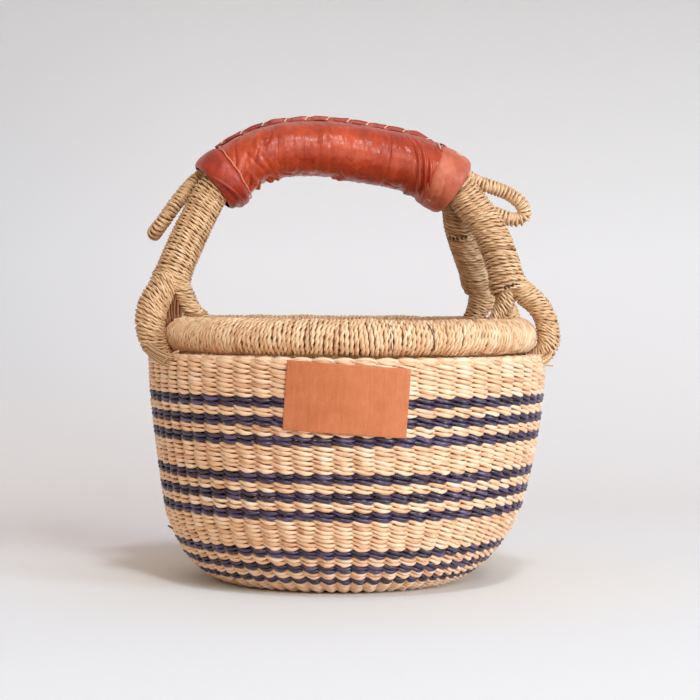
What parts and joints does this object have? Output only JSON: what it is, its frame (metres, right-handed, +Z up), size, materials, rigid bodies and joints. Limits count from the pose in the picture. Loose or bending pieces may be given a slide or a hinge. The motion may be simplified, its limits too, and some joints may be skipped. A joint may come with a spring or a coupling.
{
  "type": "woven grass basket",
  "caption": "Small round twined grass basket with navy stripes, a wrapped rim, and a fixed arched double handle with a leather grip.",
  "frame": {"origin": "middle of the base's flat underside, on the surface that the basket stands on", "axes": "+Z up, X along the handle, -Y towards the side with the label"},
  "size_m": [0.242, 0.2318, 0.2682],
  "materials": {
    "natural_straw": "twined natural grass straw, matt with a light sheen",
    "navy_straw": "twined grass straw dyed navy, matt with a light sheen",
    "rim_straw": "twisted grass strand wrapped closely round the rim",
    "handle_straw": "twisted grass strand wrapped closely round the handle",
    "grip_leather": "glazed terracotta goatskin, creased, with a laced seam",
    "cuff_leather": "matt terracotta goatskin band",
    "label_leather": "smooth tan leather, bare"
  },
  "bodies": {
    "root": {"base_start": "natural_straw", "base_weave": "natural_straw", "natural_band_1": "natural_straw", "natural_band_2": "natural_straw", "natural_band_3": "natural_straw", "natural_band_4": "natural_straw", "natural_band_5": "natural_straw", "natural_band_6": "natural_straw", "natural_band_7": "natural_straw", "natural_band_8": "natural_straw", "natural_band_9": "natural_straw", "navy_stripe_1": "navy_straw", "navy_stripe_2": "navy_straw", "navy_stripe_3": "navy_straw", "navy_stripe_4": "navy_straw", "navy_stripe_5": "navy_straw", "navy_stripe_6": "navy_straw", "navy_stripe_7": "navy_straw", "navy_stripe_8": "navy_straw", "navy_stripe_9": "navy_straw", "rim_core": "rim_straw", "rim_wrap": "rim_straw", "handle_core_front": "handle_straw", "handle_core_back": "handle_straw", "handle_wrap_front": "handle_straw", "handle_wrap_back": "handle_straw", "rim_hook_front_left": "handle_straw", "rim_hook_front_right": "handle_straw", "rim_hook_back_left": "handle_straw", "rim_hook_back_right": "handle_straw", "ear_loop_left": "handle_straw", "ear_loop_right": "handle_straw", "leather_grip": "grip_leather", "leather_cuff_left": "cuff_leather", "leather_cuff_right": "cuff_leather", "label": "label_leather"}
  },
  "joints": []
}
